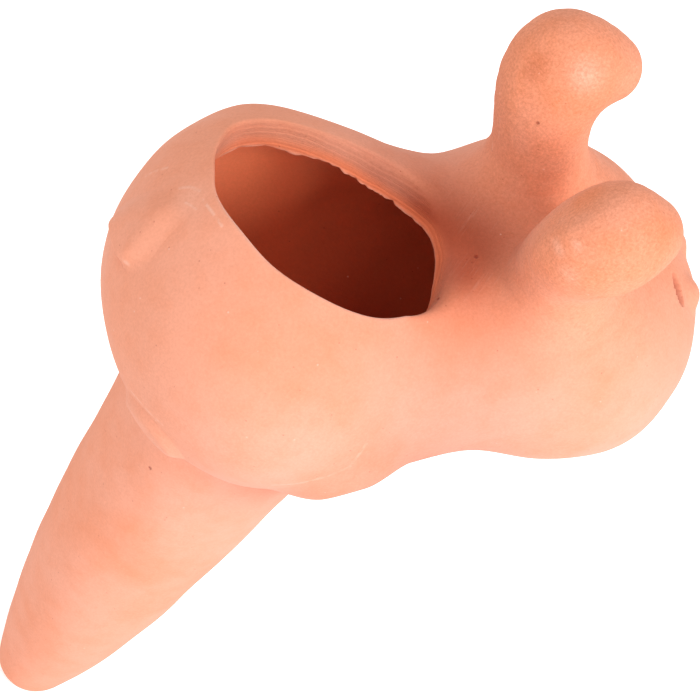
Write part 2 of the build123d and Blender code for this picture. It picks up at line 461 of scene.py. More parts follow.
def topOfHull(reach, side, inset=0.0):
    # height of the hull's top skin over a place given by reach and side
    return np.sqrt(np.maximum(hullRadius(reach, inset) ** 2 - (side / widthAt(inset)) ** 2, 0))


rimPlaces = np.stack([np.cos(rimAngles), np.sin(rimAngles)], -1) * rimRadii[:, None] + mouth["centre"]
rimLevels = topOfHull(rimPlaces[:, 0], rimPlaces[:, 1])


def mouthTurn(q):
    # angle round the mouth's centre, 0 at the front
    return np.arctan2(q[..., 1] - mouth["centre"][1], q[..., 0] - mouth["centre"][0])


def cutField(q):
    # distance from the leaning wall of the cut, positive in the clay
    turn = mouthTurn(q)
    radius = np.hypot(q[..., 0] - mouth["centre"][0], q[..., 1] - mouth["centre"][1])
    wallRadius = np.interp(turn, rimAngles, rimRadii, period=2 * np.pi)
    level = np.interp(turn, rimAngles, rimLevels, period=2 * np.pi)
    angles, leans = np.array(mouth["leans"], float).T
    lean = np.radians(np.interp(np.degrees(turn), angles, leans))
    wallRadius = wallRadius + (q[..., 2] - level) * np.tan(lean)
    clay = (radius - wallRadius) * np.cos(lean)
    return np.maximum(clay, mouth["lowest"] - q[..., 2])


def raggedEdge(q):
    # small bites out of the far inner edge: cubed sine waves round the mouth that fade away from the cut
    turn = mouthTurn(q)
    bites = sum(np.sin(number * turn + start) ** 3 for number, start in mouth["bites"])
    far = easeStep(np.sin(turn), *mouth["biteSide"])
    return mouth["biteDepth"] * far * bites * np.exp(-(cutField(q) / mouth["biteFade"]) ** 2)


def edgeSoftness(q):
    # blend of the skin into the cut, from its list of angles round the mouth
    angles, softness = np.array(mouth["softness"], float).T
    return np.interp(np.degrees(mouthTurn(q)), angles, softness)


# A slit behind each eye, cut as a short curved groove
slits = {
    # reach, side and height of the groove's line on the right side
    "line": [(57.9, 4.2, 15.9), (58.5, 6.6, 14.8), (59.4, 8.7, 13.3)],
    "points": 13,
    "halfWidth": 0.95,
    "depth": 2.9,
    # at the ends: share of the depth, and square of the share of the width
    "endDepth": 0.25,
    "endWidth": 0.02,
}


def slitDepth(q):
    # depth of the nearest slit: deepest on its line, nothing past its half width, tapering to its ends
    p = q.copy()
    p[..., 1] = np.abs(p[..., 1])
    line = throughPoints(slits["line"], slits["points"])
    best = np.full(q.shape[:-1], np.inf)
    along = np.zeros(q.shape[:-1])
    for number, (start, end) in enumerate(zip(line[:-1], line[1:])):
        run = end - start
        share = np.clip(((p - start) @ run) / (run @ run), 0, 1)
        gap = np.linalg.norm(p - start - share[..., None] * run, axis=-1)
        closer = gap < best
        best = np.where(closer, gap, best)
        along = np.where(closer, (number + share) / (len(line) - 1), along)
    width = slits["halfWidth"] * np.sqrt(np.maximum(1 - (2 * along - 1) ** 2, slits["endWidth"]))
    across = np.sqrt(np.maximum(1 - (best / width) ** 2, 0))
    return slits["depth"] * across * np.minimum(4 * along * (1 - along) + slits["endDepth"], 1)


def fadingRise(rise, start, limit):
    # follows the rise up to start, then levels off at the limit, so that a neighbour's piece comes out on top
    over = np.maximum(rise - start, 0)
    return np.minimum(rise, start) + (limit - start) * (1 - np.exp(-over / (limit - start)))


def onlyWhere(mask, p, field, far):
    # the field where the mask holds, and a far value elsewhere
    values = np.full(p.shape[:-1], float(far))
    values[mask] = field(p[mask])
    return values


def gradientOf(field, p, reach=0.02):
    # the way in which the field grows fastest, from its differences over a short reach
    steps = np.eye(3) * reach
    return unit(np.stack([field(p + step) - field(p - step) for step in steps], -1))


def hullOnly(p):
    # the hull's own skin, without ears, spike and mouth
    q = toHull(p)
    return softHull(q) - handLumps(p) - handSwells(q)


# Where the ears' pieces end on the hull: a round border seen from a place deep in the head
earBorder = {"radius": 12.6, "deepen": 4.0, "sink": 0.5, "over": 2.2}
joinRise = {"earStart": 4.0, "earLimit": 4.8, "spikeStart": 0.1, "spikeLimit": 0.5}


def earPlan(side):
    # a place deep in the head, the foot where the stalk's line leaves the hull, and the way out there
    spine = earSpines[side][:, :3]
    foot = castOut(spine[0], spine[ears["balls"] // 3], hullOnly, low=0, high=1.5)
    square = gradientOf(hullOnly, foot)
    return spine[0] - square * earBorder["deepen"], foot, square


earPlans = {side: earPlan(side) for side in (1, -1)}


def footDistance(p, side):
    # distance from the foot in the flat through it, for a place seen from the deep place
    deep, foot, square = earPlans[side]
    ahead = (p - deep) @ square
    scale = ((foot - deep) @ square) / np.maximum(ahead, 1e-3)
    gap = np.linalg.norm(deep + (p - deep) * scale[..., None] - foot, axis=-1)
    return np.where(ahead > 1e-3, gap, np.inf)


def underEars(p):
    # how far the hull's pieces sink below the full skin inside the ears' borders
    nearest = np.minimum(footDistance(p, 1), footDistance(p, -1))
    return earBorder["sink"] * easeStep(earBorder["radius"] - nearest, 0, earBorder["over"])


# Bead of slip that was smeared along the crease under the belly
bead = {
    "height": 0.42,
    "offset": -0.55,
    "width": 0.55,
    "reach": 2.2,
    # share of the height all round, then number, start and share of each wave along the bead
    "level": 0.62,
    "waves": [(3, 0.6, 0.2), (7, 2.0, 0.12), (17, 0.0, 0.06)],
}


def lipShare(base, wall):
    # 1 along the crest of the bead, falling away from it
    ridge = np.exp(-((base - wall - bead["offset"]) / bead["width"]) ** 2)
    return ridge * np.clip(1 - (np.abs(base) + np.abs(wall)) / bead["reach"], 0, 1)


def spikeRise(p, base):
    # how far the blend into the spike, and the bead along it, lift the skin over the hull
    wall = spikeField(p)
    blended = base - smoothMin(base, wall, spike["blend"])
    turn = np.arctan2(p[..., 1], p[..., 0])
    uneven = sum(share * np.sin(number * turn + start) for number, start, share in bead["waves"])
    return blended + bead["height"] * (bead["level"] + uneven) * lipShare(base, wall)


def claySkin(p, wholeEars=False, wholeSpike=False):
    # the outer skin of everything but the pressed-on pieces, as a field that is negative in the clay
    q = toHull(p)
    base = softHull(q)
    nearEars = (p[..., 0] > ears["from"][0]) & (p[..., 2] > ears["from"][1])
    nearSpike = q[..., 2] < 0
    earRise = base - smoothMin(base, onlyWhere(nearEars, p, earField, 1e3), earBlend(p))
    underside = np.where(nearSpike, spikeRise(p, base), 0)
    if not wholeEars:
        earRise = fadingRise(earRise, joinRise["earStart"], joinRise["earLimit"])
        earRise = earRise - onlyWhere(nearEars, p, underEars, 0)
    if not wholeSpike:
        underside = fadingRise(underside, joinRise["spikeStart"], joinRise["spikeLimit"])
    skin = base - earRise - underside - handLumps(p) - handSwells(q)
    return smoothMax(skin, -cutField(q), edgeSoftness(q))


def wallLumps(p, strength, scale, shift):
    # the unevenness taken from elsewhere in space, so that an inner wall doesn't copy the outer one
    return strength * handLumps(p * scale + shift)


def innerSkin(p):
    # the hollow's wall, positive in the clay
    return hullField(toHull(p), hull["wall"]) - wallLumps(p, *hull["hollowLumps"])


def hollowField(p):
    # the same wall, positive in the hollow
    return -innerSkin(p)


def hullNormal(q, inset=0.0):
    # the way out of the plain hull at a place
    def plainHull(place):
        return hullField(place, inset)

    return gradientOf(plainHull, q, 0.01)


def onSkin(q, field, inset=0.0):
    # moves points of the plain hull out or in, square to it, from the middle of the wall to the real skin
    way = hullNormal(q, inset) * hull["wall"] / 2
    start = q + way if inset else q - way
    return castOut(fromHull(start), fromHull(q), field, low=0, high=3.4, rounds=18)


def hullGrid(reach, radius, columns, inset):
    # points of the hull for rows of reach and radius, and columns of angle from the top
    width = widthAt(inset)
    side = width * radius[:, None] * np.sin(columns)
    up = radius[:, None] * np.cos(columns)
    return np.stack([np.broadcast_to(reach[:, None], side.shape), side, up], -1)


def ringRows(start, end, count):
    # rows of points spread evenly from one ring to the other, without the two rings
    share = np.linspace(0, 1, count + 2)[1:-1, None, None]
    return start + (end - start) * share


# Body shell: outer and inner skin as grids round the hull's axis, joined through the mouth, the floor hole
# and the seam
bodyMesh = {
    "rearRows": 66,
    "neckRows": 46,
    "columns": 272,
    # reach from and to, and half the turn, of the cells that make way for the mouth and for the floor hole
    "mouthBlock": (-19.5, 26.4, 62),
    "floorBlock": (-15.0, 17.0, 38),
    "collarRows": 6,
    "rimRows": 58,
    # where the rim's rows crowd, how widely and how much, and how far out the rim is looked for
    "rimCrowd": ((0.26, 0.7), 0.05, 2.2),
    "rimReach": 6.5,
}


def rowNear(reach, value):
    # number of the row whose reach is nearest the value
    return int(np.argmin(np.abs(reach - value)))


def bodyRows(inset):
    # reach and radius of each row: even turns over the rear ball, then even reaches on to the seam
    back = hull["torsoRadius"] - inset
    turn = np.linspace(0, np.pi / 2, bodyMesh["rearRows"])[1:]
    reach = np.linspace(0, hull["seamReach"], bodyMesh["neckRows"])[1:]
    reaches = np.concatenate([-back * np.cos(turn), reach])
    return reaches, np.concatenate([back * np.sin(turn), hullRadius(reach, inset)])


def rimSweep(turn):
    # rows round the rim, from the outer skin over the cut face to the inner skin, seen from inside the wall
    centre = np.array(mouth["centre"])
    radius = np.interp(turn, rimAngles, rimRadii, period=2 * np.pi)
    ways = np.stack([np.cos(turn), np.sin(turn)], -1)
    edge = centre + ways * radius[:, None]
    outer = centre + ways * (radius + mouth["pivotOffset"])[:, None]
    edgePoint = np.concatenate([edge, topOfHull(edge[:, 0], edge[:, 1])[:, None]], -1)
    outerPoint = np.concatenate([outer, topOfHull(outer[:, 0], outer[:, 1])[:, None]], -1)
    normal = hullNormal(outerPoint)
    pivot = outerPoint - normal * hull["wall"] / 2
    toEdge = edgePoint - outerPoint
    toEdge = unit(toEdge - (toEdge * normal).sum(-1, keepdims=True) * normal)
    sweep = np.pi * denseSteps(bodyMesh["rimRows"], *bodyMesh["rimCrowd"])[:, None, None]
    ways = normal * np.cos(sweep) + toEdge * np.sin(sweep)
    origin = np.broadcast_to(fromHull(pivot), ways.shape)
    aim = fromHull(pivot + ways)

    def clay(p):
        ragged = innerSkin(p) - raggedEdge(toHull(p))
        return smoothMax(claySkin(p), -ragged, mouth["innerSoftness"])

    return castOut(origin, aim, clay, low=0, high=bodyMesh["rimReach"])


def cutBlock(columns, keep, block, middle):
    # takes a block out of the cells to keep, and gives back its rows and columns
    start, end, halfTurn = block
    reach = bodyRows(0)[0]
    rows = (rowNear(reach, start), rowNear(reach, end))
    turns = np.radians([middle - halfTurn, middle + halfTurn])
    marks = [int(np.argmin(np.abs(columns - turn))) for turn in turns]
    keep[rows[0]:rows[1], marks[0]:marks[1]] = False
    return rows, marks


def joinMouth(sheet, outerLoop, innerLoop):
    # a collar of rows from each skin to the rim, and the rim's own rows between them
    points = np.concatenate(sheet["points"])
    rim = rimSweep(np.unwrap(mouthTurn(toHull(points[outerLoop]))))
    rimNumbers = addPoints(sheet, rim)
    skins = [(outerLoop, 0, claySkin, 0.0), (innerLoop, -1, hollowField, hull["wall"])]
    for loop, end, field, inset in skins:
        collar = ringRows(toHull(points[loop]), toHull(rim[end]), bodyMesh["collarRows"])
        collar[..., 2] = topOfHull(collar[..., 0], collar[..., 1], inset)
        numbers = addPoints(sheet, onSkin(collar, field, inset))
        addQuads(sheet, np.concatenate([loop[None], numbers, rimNumbers[end][None]]))
    addQuads(sheet, rimNumbers)


def joinFloor(sheet, outerLoop, innerLoop):
    # a collar from each skin to the floor hole's circle, and the hole's wall between the circles
    points = np.concatenate(sheet["points"])
    holeRings = []
    for loop, field in ((outerLoop, claySkin), (innerLoop, innerSkin)):
        start = points[loop]
        turn = np.arctan2(start[:, 1], start[:, 0])
        circle = spike["holeRadius"] * np.stack([np.cos(turn), np.sin(turn), np.zeros_like(turn)], -1)
        rows = np.concatenate([ringRows(start, circle, bodyMesh["collarRows"]), circle[None]])
        numbers = addPoints(sheet, castDown(rows, field))
        addQuads(sheet, np.concatenate([loop[None], numbers]))
        holeRings.append(numbers[-1])
    addQuads(sheet, np.stack(holeRings))


def makeBody():
    # each skin is the outline's radius turned about the hull's axis, then moved out or in to the real skin
    sheet = newSheet()
    columns = np.linspace(-np.pi / 2, 3 * np.pi / 2, bodyMesh["columns"], endpoint=False)
    skins = []
    for inset, field in ((0.0, claySkin), (hull["wall"], hollowField)):
        reach, radius = bodyRows(inset)
        skins.append(addPoints(sheet, onSkin(hullGrid(reach, radius, columns, inset), field, inset)))
        pole = np.array([[-hull["torsoRadius"] + inset, 0.0, 0.0]])
        addFan(sheet, skins[-1][0], onSkin(pole, field, inset))
    outer, inner = skins
    keep = np.ones((outer.shape[0] - 1, outer.shape[1]), bool)
    mouthCells = cutBlock(columns, keep, bodyMesh["mouthBlock"], 0)
    floorCells = cutBlock(columns, keep, bodyMesh["floorBlock"], 180)
    addQuads(sheet, outer, keep)
    addQuads(sheet, inner, keep)
    addQuads(sheet, np.stack([outer[-1], inner[-1]]))
    joinMouth(sheet, blockLoop(outer, *mouthCells), blockLoop(inner, *mouthCells))
    joinFloor(sheet, blockLoop(outer, *floorCells), blockLoop(inner, *floorCells))
    return sheet


# Head shell: outer and inner skin as grids round the hull's axis, finer round the eyes
headMesh = {
    "neckRows": 34,
    "noseRows": 100,
    "columns": 330,
    # how far from the top the eyes lie in degrees, and how widely and how much the columns crowd there
    "eyeTurn": 27.0,
    "eyeCrowd": (0.045, 3.0),
    # where the nose's rows crowd, how widely and how much
    "noseCrowd": ((0.6,), 0.14, 2.2),
}


def headSkin(p):
    # the outer skin with the slits cut in
    return claySkin(p) + slitDepth(toHull(p))


def makeHead():
    # each skin is the outline's radius turned about the hull's axis, from the seam on to the nose
    sheet = newSheet()
    eyeShare = headMesh["eyeTurn"] / 360
    share = denseSteps(headMesh["columns"] + 1, (0.5 - eyeShare, 0.5 + eyeShare), *headMesh["eyeCrowd"])[:-1]
    columns = 2 * np.pi * (share - 0.5)
    rings = []
    for inset, field in ((0.0, headSkin), (hull["wall"], hollowField)):
        front = hull["headRadius"] - inset
        reach = np.linspace(hull["seamReach"], hull["headReach"], headMesh["neckRows"])
        turn = np.pi / 2 * denseSteps(headMesh["noseRows"], *headMesh["noseCrowd"])[1:-1]
        reaches = np.concatenate([reach, hull["headReach"] + front * np.sin(turn)])
        radius = np.concatenate([hullRadius(reach, inset), front * np.cos(turn)])
        numbers = addPoints(sheet, onSkin(hullGrid(reaches, radius, columns, inset), field, inset))
        pole = np.array([[hull["headReach"] + front, 0.0, 0.0]])
        addFan(sheet, numbers[-1], onSkin(pole, field, inset))
        addQuads(sheet, numbers)
        rings.append(numbers[0])
    addQuads(sheet, np.stack(rings))
    return sheet


def bells(q, places):
    # the sum of soft bells round the places, at most 1
    return np.minimum(bellSum(q, places), 1)


# Places where the clay burned more orange; where it was rubbed pale, and on the ears painted highlights;
# where painted shade darkens the neck hollow; and where it was tooled: reach, side, height, spread and
# strength
markPlaces = {
    "orange": [(32.7, -11.5, 44.1, 3.0, 0.9), (42.1, -18.7, 45.2, 3.5, 0.7), (38.0, 12.0, 47.2, 7.0, 0.35),
               (33.1, 8.0, 41.4, 6.0, 0.4), (19.8, -15.1, 17.3, 6.0, 0.6), (4.0, -29.5, -6.0, 6.0, 0.5),
               (-10.3, -11.0, -53.0, 9.0, 0.5), (-14.0, 10.0, 14.0, 7.0, 0.3)],
    # pale rubbed spots; the ones on the ears are painted highlights
    "scuff": [(27.8, -18.2, 40.4, 0.8, 0.6), (29.7, -19.4, 42.5, 0.6, 0.6), (35.9, 9.1, 44.9, 2.6, 0.5),
              (-16.9, 3.8, 18.7, 2.6, 0.25), (30.5, -20.5, 38.0, 1.4, 0.5)],
    # painted shade in the neck hollow and near the cut
    "hollow": [(24.5, -3.5, 20.0, 8.0, 0.75), (19.5, 2.0, 18.5, 5.0, 0.45), (22.5, -9.0, 19.3, 3.6, 0.3),
               (12.0, 9.5, 17.0, 3.6, 0.5), (17.5, 4.5, 17.0, 3.2, 0.4)],
    "tooled": [(27.0, -4.0, 20.5, 8.5, 1.0)],
}


# How the marks run, in millimetres from the surface that each follows
markEdges = {
    "hollow": (0.2, 2.4),
    "bore": (2.0, 3.6),
    "boreTop": 8.0,
    "cut": (0.2, 0.7),
    "cutInside": (0.05, 0.35),
    # painted highlight along the mouth's edges: its width and the least height, the inner edge's reach, share
    # and lessening, and where the near side fades out
    "rimWidth": 0.42,
    "rimAbove": 9.0,
    "innerRim": (1.5, 0.6, 0.1),
    "nearRim": (-0.1, 0.5),
    "ears": (43, 62),
    # painted light: the way towards which the clay is painted paler, as on the side facing the lamps, and how
    # square to it that begins and ends
    "litSideWay": (0.32, -0.85, -0.42),
    "blush": (0.0, 0.95),
    # where the hollow's lit rear wall is left pale as painted light, and the painted shade at its dark far
    # end
    "litRearWall": [(-12.0, 10.0, 4.0, 14.0, 0.7)],
    "farEnd": [(20.0, -1.0, -3.0, 17.0, 1.3), (8.0, -8.0, -14.0, 14.0, 1.0)],
    # share of painted shade in the slits' floors, and of painted highlight on the bead's crest
    "slitShare": 0.6,
    "beadShare": 1.2,
}


def insideShadeMark(p):
    # painted shade: 1 on the hollow's wall and in the bore, less on the rear wall, left pale as painted light
    # where light falls in
    hollow = 1 - easeStep(innerSkin(p), *markEdges["hollow"])
    hollow = hollow * (1 - bells(toHull(p), markEdges["litRearWall"]))
    bore = easeStep(-spikeField(p), *markEdges["bore"]) * (p[:, 2] < markEdges["boreTop"])
    return np.maximum(hollow, bore)


def cutMark(p):
    # 1 on the cut face, from the hollow's wall outward
    nearCut = 1 - easeStep(np.abs(cutField(toHull(p))), *markEdges["cut"])
    return nearCut * easeStep(innerSkin(p), *markEdges["cutInside"])


def deepShadeMark(p):
    # painted shade: the dark far end of the hollow, and the slits' floors
    q = toHull(p)
    return np.minimum(bells(q, markEdges["farEnd"]) + markEdges["slitShare"] * slitDepth(q), 1)


def edgeHighlightMark(p):
    # painted highlight: 1 along the near outer edge of the mouth and the bead of slip, and less along the
    # inner edge
    q = toHull(p)
    wall = np.abs(innerSkin(p))
    reach, innerShare, innerLess = markEdges["innerRim"]
    gap = np.minimum(np.abs(softHull(q)), wall + innerLess)
    rim = np.exp(-(cutField(q) ** 2 + gap**2) / markEdges["rimWidth"] ** 2)
    rim = rim * (q[:, 2] > markEdges["rimAbove"])
    near = 1.0 - easeStep(np.sin(mouthTurn(q)), *markEdges["nearRim"])
    rim = rim * np.where(wall < reach, innerShare, near)
    lip = np.minimum(markEdges["beadShare"] * lipShare(softHull(q), spikeField(p)), 1)
    return np.maximum(rim, lip * (q[:, 2] < 0))


def litSideMark(p):
    # painted light: paler on surfaces that face the animal's right and front, as the lit side
    way = gradientOf(hullOnly, p)
    return easeStep(way @ np.array(markEdges["litSideWay"]), *markEdges["blush"])


def sandyMark(p):
    # 1 on the ears, fading over their roots
    return easeStep(p[:, 2], *markEdges["ears"])


def depthMark(p):
    # depth under the outer skin
    return -softHull(toHull(p))


def placesMark(places):
    def mark(p):
        return bells(toHull(p), places)

    return mark


clayMarks = {
    "inside": insideShadeMark,
    "blush": litSideMark,
    "cut": cutMark,
    "edge": edgeHighlightMark,
    "soot": deepShadeMark,
    "sandy": sandyMark,
    "depth": depthMark,
}
clayMarks.update({label: placesMark(places) for label, places in markPlaces.items()})


# Shader helpers
def newGroup(name, inputs, outputs):
    # an empty node group with its sockets, and the inputs of its output node
    tree = bpy.data.node_groups.new(name, "ShaderNodeTree")
    for label, kind, value in inputs:
        tree.interface.new_socket(label, in_out="INPUT", socket_type=kind).default_value = value
    for label, kind in outputs:
        tree.interface.new_socket(label, in_out="OUTPUT", socket_type=kind)
    return tree, tree.nodes.new("NodeGroupOutput").inputs


def addNode(tree, kind, inputs, **settings):
    # a node with its settings, whose inputs are either linked or set
    made = tree.nodes.new(kind)
    for key, value in settings.items():
        setattr(made, key, value)
    for socket, value in inputs.items():
        if isinstance(value, bpy.types.NodeSocket):
            tree.links.new(value, made.inputs[socket])
        else:
            made.inputs[socket].default_value = value
    return made


def maths(tree, operation, *values):
    return addNode(tree, "ShaderNodeMath", dict(enumerate(values)), operation=operation).outputs[0]


def vectorMaths(tree, operation, inputs):
    # distances and dot products come out as a value, the rest as a vector
    node = addNode(tree, "ShaderNodeVectorMath", inputs, operation=operation)
    return node.outputs["Value" if operation in ("DISTANCE", "DOT_PRODUCT") else "Vector"]


def weighed(tree, start, shares, things):
    # start plus the sum of each named thing times its share
    for label, share in shares.items():
        start = maths(tree, "MULTIPLY_ADD", things[label], share, start)
    return start


def ramp(tree, value, start, end):
    # 0 at start and 1 at end, eased between
    node = addNode(tree, "ShaderNodeMapRange", {0: value, 1: start, 2: end}, interpolation_type="SMOOTHSTEP")
    return node.outputs[0]


def fade(tree, value, start, end):
    # 1 at start and 0 at end, eased between
    return maths(tree, "SUBTRACT", 1.0, ramp(tree, value, start, end))


def mixed(tree, share, first, second, blend="MIX"):
    node = addNode(tree, "ShaderNodeMix", {0: share, 6: first, 7: second}, data_type="RGBA", blend_type=blend)
    return node.outputs[2]


def noise(tree, place, scale, detail=2.0, rough=0.5):
    inputs = {"Vector": place, "Scale": scale, "Detail": detail, "Roughness": rough}
    return addNode(tree, "ShaderNodeTexNoise", inputs).outputs[0]


def attribute(tree, name):
    return addNode(tree, "ShaderNodeAttribute", {}, attribute_name=name).outputs["Fac"]


def objectPlace(tree):
    return tree.nodes.new("ShaderNodeTexCoord").outputs["Object"]


# Sand in the clay: fine grain, dark specks and pale specks
sandLook = {
    "grainScale": 2400.0,
    # scale of the cells, the share of them left empty, and where in its cell a speck begins and ends to fade
    "specks": {"Dark": (700.0, 0.80, 0.05, 0.12), "Pale": (480.0, 0.90, 0.04, 0.10)},
}


def makeSand():
    kind = "NodeSocketFloat"
    tree, result = newGroup("sand", [], [("Grain", kind), ("Dark", kind), ("Pale", kind)])
    place = objectPlace(tree)
    grain = noise(tree, place, sandLook["grainScale"], detail=3.0, rough=0.7)
    tree.links.new(grain, result["Grain"])
    for label, (scale, empty, start, end) in sandLook["specks"].items():
        cells = addNode(tree, "ShaderNodeTexVoronoi", {"Vector": place, "Scale": scale}).outputs
        chance = addNode(tree, "ShaderNodeSeparateColor", {0: cells["Color"]}).outputs[0]
        chosen = maths(tree, "GREATER_THAN", chance, empty)
        speck = maths(tree, "MULTIPLY", fade(tree, cells["Distance"], start, end), chosen)
        tree.links.new(speck, result[label])
    return tree


# Small pits: their places and radii in millimetres, and the shares of the radius between which they fade
pits = {
    "places": [
        (-17.5, 12.7, 39.4, 0.30), (-15.2, 12.6, 35.4, 0.35), (20.6, 6.9, 65.6, 0.30),
        (23.3, 3.4, 53.1, 0.28), (23.0, 2.8, 52.9, 0.22), (16.7, -5.4, 48.5, 0.32),
        (16.0, -6.2, 48.3, 0.24), (11.1, -11.3, 44.9, 0.30), (-12.8, -11.0, -7.2, 0.34),
    ],
    "fade": (0.4, 1.3),
}


def makePits():
    tree, result = newGroup("pits", [], [("Pit", "NodeSocketFloat")])
    place = objectPlace(tree)
    total = 0.0
    for *centre, radius in pits["places"]:
        start, end = np.array(pits["fade"]) * radius * mm
        gap = vectorMaths(tree, "DISTANCE", {0: place, 1: np.array(centre) * mm})
        total = maths(tree, "ADD", fade(tree, gap, start, end), total)
    tree.links.new(maths(tree, "MINIMUM", total, 1.0), result["Pit"])
    return tree


# Pale strokes where clay was smeared, in millimetres; the two thin ones on the left ear are painted highlight
# along its crease
strokes = {
    # radius, strength, then the places that each passes through
    "paths": [
        (0.40, 0.40, (-23.2, 2.7, 42.7), (-22.6, 0.4, 43.5), (-22.2, -1.0, 43.9), (-21.7, -2.7, 44.3)),
        (0.45, 0.28, (-26.7, 13.1, 33.2), (-26.0, 12.6, 35.3), (-25.2, 11.9, 37.3)),
        # painted highlight lines along the ear's crease
        (0.12, 0.45, (18.3, 13.0, 58.5), (19.3, 12.2, 55.8), (19.9, 10.5, 53.7)),
        (0.12, 0.35, (17.8, 11.0, 60.6), (19.2, 9.9, 57.0)),
        (0.45, 0.30, (-25.4, -12.6, 15.6), (-25.1, -14.6, 16.4), (-24.0, -17.2, 17.1), (-22.5, -19.8, 18.0)),
        (0.50, 0.25, (-6.5, -28.7, 18.5), (-3.0, -29.2, 20.5), (-0.6, -29.2, 22.3), (3.2, -28.2, 25.0),
         (3.8, -27.3, 29.5)),
        (0.45, 0.25, (-25.1, 6.4, 40.0), (-24.1, 5.9, 41.2), (-23.3, 4.6, 42.3)),
        (0.35, 0.25, (-25.0, 3.2, 40.9), (-24.1, 1.5, 42.0)),
        (0.60, 0.45, (-30.7, 6.6, 28.9), (-31.0, 3.9, 29.6), (-31.0, 1.0, 30.2), (-30.8, -1.8, 31.0)),
    ],
    # share of the radius that stays whole, and the noise that breaks the strokes up
    "whole": 0.2,
    "breakScale": 900.0,
    "breaks": (0.30, 0.60),
}


def makeStrokes():
    # distance to each stretch of each stroke, faded from its middle outward and broken up by noise
    tree, result = newGroup("strokes", [], [("Stroke", "NodeSocketFloat")])
    place = objectPlace(tree)
    total = 0.0
    for radius, strength, *path in strokes["paths"]:
        path = np.array(path) * mm
        for start, end in zip(path[:-1], path[1:]):
            run = end - start
            gap = vectorMaths(tree, "SUBTRACT", {0: place, 1: start})
            share = vectorMaths(tree, "DOT_PRODUCT", {0: gap, 1: run / (run @ run)})
            share = maths(tree, "MINIMUM", maths(tree, "MAXIMUM", share, 0.0), 1.0)
            foot = vectorMaths(tree, "SCALE", {0: run, "Scale": share})
            away = vectorMaths(tree, "DISTANCE", {0: gap, 1: foot})
            ink = fade(tree, away, strokes["whole"] * radius * mm, radius * mm)
            total = maths(tree, "MAXIMUM", maths(tree, "MULTIPLY", ink, strength), total)
    broken = ramp(tree, noise(tree, place, strokes["breakScale"], detail=3.0, rough=0.6), *strokes["breaks"])
    tree.links.new(maths(tree, "MULTIPLY", total, broken), result["Stroke"])
    return tree


# Marks of tools: knife lines round the cut face and scratches up the neck
tooling = {
    # how far the knife lines wander in depth and over what scale, how closely they lie, and which show
    "wander": 1.1,
    "wanderScale": 130.0,
    "lineScale": 3.4,
    "lines": (0.35, 0.65),
    # the scratches' two ways with the scale along each, which of them show, and in what patches
    "ways": [((0.585, 0.759, 0.285), 110.0), ((-0.79, 0.61, 0.0), 3000.0)],
    "hairs": (0.50, 0.74),
    "patchScale": 170.0,
    "patches": (0.46, 0.66),
    # marks that nothing but the tooling reads
    "ownMarks": ("depth", "tooled"),
}


def makeTooling():
    tree, result = newGroup("tooling", [], [("Knife", "NodeSocketFloat"), ("Scratch", "NodeSocketFloat")])
    place = objectPlace(tree)
    wander = noise(tree, place, tooling["wanderScale"])
    level = maths(tree, "MULTIPLY_ADD", wander, tooling["wander"], attribute(tree, "depth"))
    inputs = {"W": level, "Scale": tooling["lineScale"], "Detail": 3.0, "Roughness": 0.6}
    lines = addNode(tree, "ShaderNodeTexNoise", inputs, noise_dimensions="1D").outputs[0]
    knife = maths(tree, "MULTIPLY", ramp(tree, lines, *tooling["lines"]), attribute(tree, "cut"))
    tree.links.new(knife, result["Knife"])
    turned = []
    for way, scale in tooling["ways"]:
        run = vectorMaths(tree, "DOT_PRODUCT", {0: place, 1: way})
        turned.append(maths(tree, "MULTIPLY", run, scale))
    flat = addNode(tree, "ShaderNodeCombineXYZ", dict(enumerate(turned))).outputs[0]
    hairs = ramp(tree, noise(tree, flat, 1.0, rough=0.6), *tooling["hairs"])
    patchy = ramp(tree, noise(tree, place, tooling["patchScale"]), *tooling["patches"])
    strength = maths(tree, "MULTIPLY", attribute(tree, "tooled"), patchy)
    tree.links.new(maths(tree, "MULTIPLY", hairs, strength), result["Scratch"])
    return tree


surfaceGroups = [makeSand(), makePits(), makeStrokes(), makeTooling()]

# Fired clay: pink to orange mottling, pinker as painted light on the side facing the lamps, painted shade as
# deeper colour in the hollows, on the cut face and inside, pale rubbed places with painted highlights, sand,
# pits and tool marks
clayColours = {
    # the pink of the lit side, as painted light
    "Pink": (0.82, 0.385, 0.28),
    "Salmon": (0.82, 0.345, 0.225),
    "Orange": (0.76, 0.23, 0.10),
    # painted shade colour for the neck hollow and the cut face
    "PaintedShade": (0.35, 0.058, 0.02),
    # painted shade inside the hollow: a deeper, redder clay colour
    "ShadedInside": (0.90, 0.23, 0.095),
    # dark specks of the clay, also the painted shade at the hollow's far end, in the slits, pits and knife
    # lines
    "DarkSpeckAndShade": (0.26, 0.008, 0.002),
    # pale rubbed clay, also the colour of the painted highlights
    "Rubbed": (0.90, 0.55, 0.43),
}
# Mottling: scale, detail and roughness of the noise, and the stretch of it that counts
mottling = {"broad": (48.0, 3.0, 0.55, 0.38, 0.66), "fine": (260.0, 4.0, 0.6, 0.40, 0.70)}
# How much each thing adds to the warm colour, the pale rubbing and painted highlights, the dark specks with
# painted shade in pits and knife lines, and the bump's height
clayShares = {
    "warm": {"broad": 0.26, "fine": 0.14, "orange": 0.55, "sandy": 0.32, "speckle": -0.40},
    "rubbed": {"unevenScuffAndHighlight": 1.0, "edge": 0.8, "scratch": 0.16, "pale": 0.5, "stroke": 1.0},
    "dark": {"dark": 0.30, "pit": 0.5, "knife": 0.13},
    "height": {"fine": 0.5, "dark": -0.5, "pit": -3.0, "pale": 0.35, "knife": -1.0, "scratch": 0.9,
               "stroke": 1.5},
}
# How far the cut face is deepened by painted shade, how unevenly the scuffs and painted highlights take, how
# the grain shades the clay and roughens it
clayTouch = {"cutDeep": 0.15, "paleSpotLeast": 0.2, "grainShade": 0.40, "grainRough": 0.12, "leastRough": 0.80}


